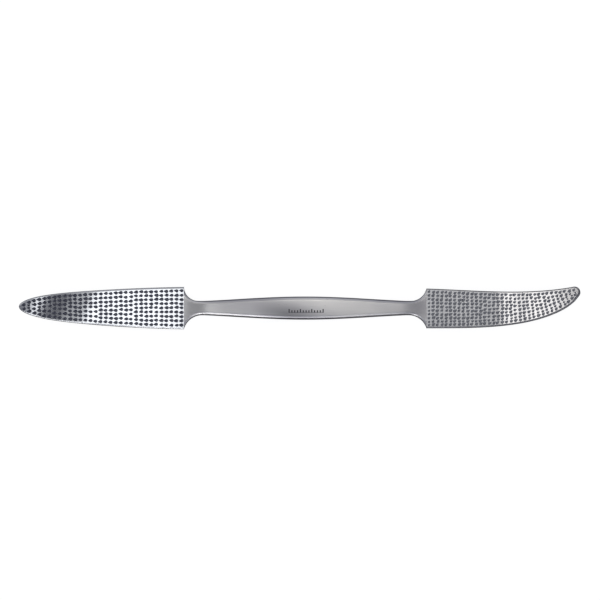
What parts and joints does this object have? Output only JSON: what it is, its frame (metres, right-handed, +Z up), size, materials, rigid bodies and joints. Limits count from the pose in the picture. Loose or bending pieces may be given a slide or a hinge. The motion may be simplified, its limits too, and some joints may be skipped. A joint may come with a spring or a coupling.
{
  "type": "double-ended rasp",
  "caption": "Slim all-steel hand rasp with a leaf-shaped toothed blade at one end, an upturned knife-shaped one at the other and a smooth flat grip between.",
  "frame": {"origin": "middle of the grip's flat underside, which the tool rests on", "axes": "+X along the tool from the leaf's tip to the knife's tip; +Y across it, towards the knife's hollow back edge; +Z up out of the upper face"},
  "size_m": [0.2494, 0.019, 0.0085],
  "materials": {
    "satin_steel": "satin, brushed along the grip",
    "polished_steel": "polished",
    "ground_steel": "fine ground",
    "cut_steel": "punched, with sharp edges"
  },
  "bodies": {
    "root": {"handle": "satin_steel", "leaf_blade": "polished_steel", "knife_blade": "ground_steel", "leaf_teeth_top": "cut_steel", "leaf_teeth_bottom": "cut_steel", "knife_teeth_top": "cut_steel", "knife_teeth_bottom": "cut_steel"}
  },
  "joints": []
}
